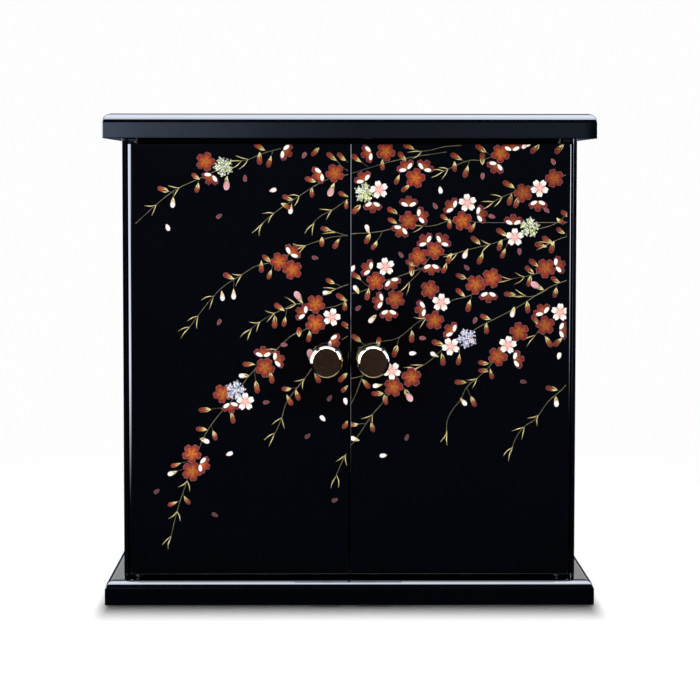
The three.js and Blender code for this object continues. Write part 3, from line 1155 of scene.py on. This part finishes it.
def reflector(name, centre, size, axis_x, axis_y, soft, stops):
    """A card that only shows in the gloss, and from its front, and lights nothing else. Its
    brightness follows stops along its own x, and its edges fade over a share of its size, given
    along x and along y."""
    deselect()
    bpy.ops.mesh.primitive_plane_add(size=1)
    card = bpy.context.object
    card.name = name
    x, y = Vector(axis_x).normalized(), Vector(axis_y).normalized()
    card.matrix_world = (
        Matrix.Translation(centre)
        @ Matrix((x, y, x.cross(y))).transposed().to_4x4()
        @ Matrix.Diagonal((size[0], size[1], 1, 1))
    )
    material = bpy.data.materials.new(name)
    tree = bare_tree(material)
    place = add(tree, "TexCoord").outputs["UV"]
    parts = add(tree, "SeparateXYZ", {"Vector": place})
    bright = add(tree, "ValToRGB", {"Fac": parts.outputs["X"]}, stops=stops)
    fades = []
    for axis, reach in zip(("X", "Y"), soft):
        folded = add(tree, "Math", {0: parts.outputs[axis], 1: 0.5}, operation="PINGPONG")
        ends = {"Value": folded, 1: 0.0, 2: reach}
        fades.append(add(tree, "MapRange", ends, interpolation_type="SMOOTHSTEP"))
    fade = add(tree, "Math", {0: fades[0], 1: fades[1]}, operation="MULTIPLY")
    back = add(tree, "NewGeometry").outputs["Backfacing"]
    bounced = add(tree, "LightPath").outputs["Diffuse Depth"]
    hidden = add(tree, "Math", {0: back, 1: bounced}, operation="MAXIMUM")
    front_only = add(tree, "Math", {0: 1.0, 1: hidden}, operation="SUBTRACT", use_clamp=True)
    fade = add(tree, "Math", {0: fade, 1: front_only}, operation="MULTIPLY")
    glow = add(tree, "Emission", {"Color": bright})
    clear = add(tree, "BsdfTransparent")
    mixed = add(tree, "MixShader", {0: fade, 1: clear, 2: glow})
    add(tree, "OutputMaterial", {"Surface": mixed})
    material.cycles.emission_sampling = "NONE"
    card.data.materials.append(material)
    only_in_the_gloss(card)


def grey(value, tint=(1.0, 1.0, 1.0)):
    return (value * tint[0], value * tint[1], value * tint[2], 1.0)


def steps(tint, *stops):
    """Stops of a card's brightness, from (place, brightness) pairs."""
    return [(place, grey(value, tint)) for place, value in stops]


white = (1.0, 1.0, 1.0)
cool = (0.87, 0.93, 1.09)
blue = (0.8, 1.0, 1.45)
across, up_way, back_way = Vector((1, 0, 0)), Vector((0, 0, 1)), Vector((0, 1, 0))
edge = (0.02, 0.02)
for card in (
    ("overhead_softbox", (0.125, -0.09, 1.5), (1.73, 1.81), back_way, across, edge,
     steps(cool, (0, 18), (0.47, 18), (0.75, 10), (1, 9))),
    ("front_softbox", (0, -0.385, 0.62), (0.14, 0.9), back_way, across, edge,
     steps(cool, (0, 17), (1, 13))),
    ("low_front_strip", (0, -1.62, 0.322), (0.62, 0.036), -across, up_way, edge,
     steps(blue, (0.0, 0.3), (0.46, 0.24), (0.63, 0.42), (0.88, 1.1), (1.0, 1.9))),
    ("dark_middle", (0.015, -1.58, 0.035), (0.24, 0.16), -across, up_way, (0.25, 0.3),
     [(0.2, (0.036, 0.019, 0.026, 1)), (0.8, (0.022, 0.015, 0.02, 1))]),
    ("left_front_card", (-1.2, -1.6, 0.9), (1.0, 1.5), back_way, up_way, (0.05, 0.12),
     steps(cool, (0, 17), (1, 17))),
    ("left_card", (-1.2, -0.35, 0.745), (1.9, 1.67), back_way, up_way, (0.1, 0.1),
     steps(cool, (0, 17), (1, 17))),
    ("right_card", (1.2, 0.41, 0.6), (0.98, 1.2), -back_way, up_way, (0.06, 0.18),
     steps(cool, (0, 22), (1, 22))),
    ("right_front_card", (1.2, -0.2, 0.82), (0.9, 1.0), -back_way, up_way, (0.05, 0.05),
     steps(cool, (0, 20), (1, 20))),
    ("glow_under_the_knobs", (0, -0.0935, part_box("base_board")[1].z + 0.5 * mm), (0.34, 0.01),
     across, back_way, (0.3, 0.05), steps(white, (0, 1.0), (1, 1.0))),
):
    reflector(*card)


def gauze(name, centre, size, facing):
    """A dark blue gauze that lets only some of the gloss through, so that the knobs glint white."""
    sheet = stage_plane(name, centre, size, facing)
    material = bpy.data.materials.new(name)
    tree = bare_tree(material)
    thin = add(tree, "BsdfTransparent", {"Color": (0.13, 0.16, 0.3, 1.0)})
    add(tree, "OutputMaterial", {"Surface": thin})
    sheet.data.materials.append(material)
    only_in_the_gloss(sheet)


knob_height = centre_of("knob_left")[2]
gauze("gauze_above", (0, -0.1035, knob_height + 0.022), (0.07, 0.016), (0, 0, 1))
for side in (-1, 1):
    gauze(f"gauze_{side}", (side * 0.035, -0.1035, knob_height), (0.05, 0.016), (side, 0, 0))


def soft_light(name, shape, centre, size, aim, power):
    """A soft area light that doesn't show in the gloss."""
    data = bpy.data.lights.new(name, "AREA")
    data.shape = shape
    data.size, data.size_y = size
    data.energy = power
    light = bpy.data.objects.new(name, data)
    bpy.context.scene.collection.objects.link(light)
    way = Vector(aim) - Vector(centre)
    light.matrix_world = (
        Matrix.Translation(centre) @ way.to_track_quat("-Z", "Y").to_matrix().to_4x4()
    )
    light.visible_glossy = False
    light.visible_camera = False


soft_light("key", "ELLIPSE", (0, 3.83, 40.0), (1.4, 8.53), (0, 3.83, 0), 20670)
soft_light("front_fill", "RECTANGLE", (0, -2.5, 0.0), (1.6, 0.3), (0, 0, 0.15), 60)

floor_size = 2.4
floor_solid, floor_gone = 0.35, 0.8  # it fades into the backdrop between these radii
floor = stage_plane("floor", (0, 0, -0.0002), (floor_size, floor_size), (0, 0, 1))
floor_material = bpy.data.materials.new("white_floor")
tree = bare_tree(floor_material)
spot = add(tree, "TexCoord").outputs["UV"]
centred = add(tree, "VectorMath", {0: spot, 1: (0.5, 0.5, 0)}, operation="SUBTRACT")
radius = add(tree, "VectorMath", {0: centred}, operation="LENGTH")
fade = add(
    tree, "MapRange",
    {"Value": radius.outputs["Value"], 1: floor_solid / floor_size, 2: floor_gone / floor_size},
    interpolation_type="SMOOTHSTEP",
)
matt = add(tree, "BsdfDiffuse", {"Color": grey(0.8)})
clear = add(tree, "BsdfTransparent")
mixed = add(tree, "MixShader", {0: fade, 1: matt, 2: clear})
add(tree, "OutputMaterial", {"Surface": mixed})
floor.data.materials.append(floor_material)
floor.visible_glossy = False

world = bpy.data.worlds.new("studio")
bpy.context.scene.world = world
tree = bare_tree(world)
ray = add(tree, "LightPath")
sky_way = add(tree, "TexCoord").outputs["Generated"]
way = add(tree, "SeparateXYZ", {"Vector": sky_way})
behind = add(
    tree, "MapRange", {"Value": way.outputs["Y"], 1: -0.05, 2: 0.25},
    interpolation_type="SMOOTHSTEP",
)
low_down = add(
    tree, "MapRange", {"Value": way.outputs["Z"], 1: 0.28, 2: 0.42, 3: 1.0, 4: 0.0},
    interpolation_type="SMOOTHSTEP",
)
backdrop = add(tree, "Math", {0: behind, 1: low_down}, operation="MULTIPLY")
above = add(
    tree, "MapRange", {"Value": way.outputs["Z"], 1: 0.03, 2: 0.08},
    interpolation_type="SMOOTHSTEP",
)
backdrop = add(tree, "Math", {0: backdrop, 1: above}, operation="MULTIPLY")
sky_height = add(tree, "Math", {0: way.outputs["Z"], 1: 0.5}, operation="ADD")
front = add(
    tree, "ValToRGB", {"Fac": sky_height},
    stops=[(0.3, grey(0.025, (0.5, 0.85, 1.6))), (0.49, grey(0.06, (0.6, 0.9, 1.4)))],
)
in_gloss = add(tree, "Mix", {"Factor": backdrop, 6: front, 7: grey(0.63)}, data_type="RGBA")
in_shade = add(
    tree, "Mix", {"Factor": ray.outputs["Is Glossy Ray"], 6: grey(0.04), 7: in_gloss.outputs[2]},
    data_type="RGBA",
)
shown = add(
    tree, "Mix", {"Factor": ray.outputs["Is Camera Ray"], 6: in_shade.outputs[2], 7: grey(0.985)},
    data_type="RGBA",
)
sky = add(tree, "Background", {"Color": shown.outputs[2]})
add(tree, "OutputWorld", {"Surface": sky})
